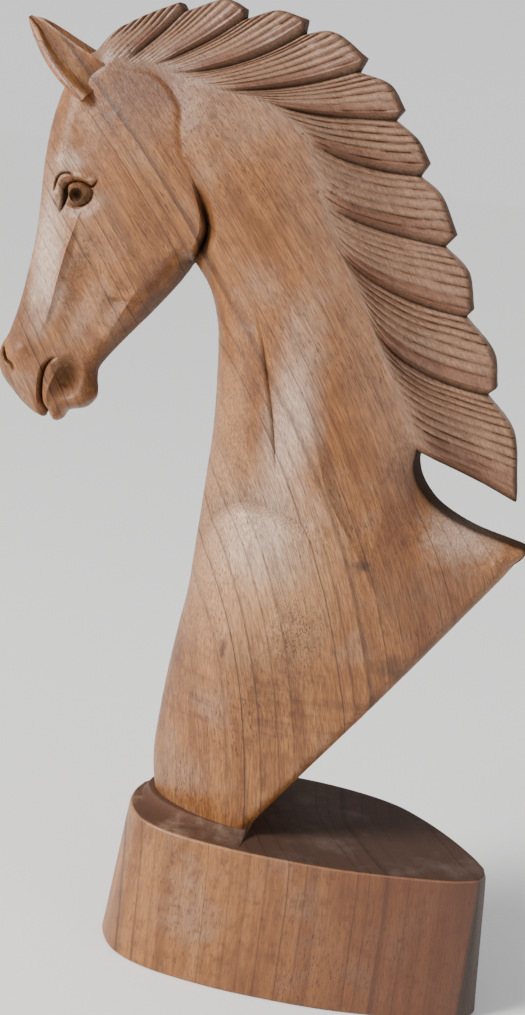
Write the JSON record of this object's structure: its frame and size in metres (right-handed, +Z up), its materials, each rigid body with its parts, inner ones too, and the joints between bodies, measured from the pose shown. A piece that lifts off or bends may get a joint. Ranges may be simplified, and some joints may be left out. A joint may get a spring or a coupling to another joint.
{
  "type": "carved hardwood horse head on a base",
  "caption": "Carved wooden horse head and arched neck with a mane of overlapping grooved locks, standing on a low base of the same block.",
  "frame": {"origin": "middle of the base's length and width, on its underside", "axes": "+Z up, the nose towards -X, the flat of the carving in the XZ plane, the pictured side towards -Y"},
  "size_m": [0.3099, 0.1235, 0.5],
  "materials": {
    "wood": "oiled and lightly waxed hardwood, satin, darker in the gouged mane and on the end grain"
  },
  "bodies": {
    "root": {"carved_horse_head": "wood"}
  },
  "joints": []
}
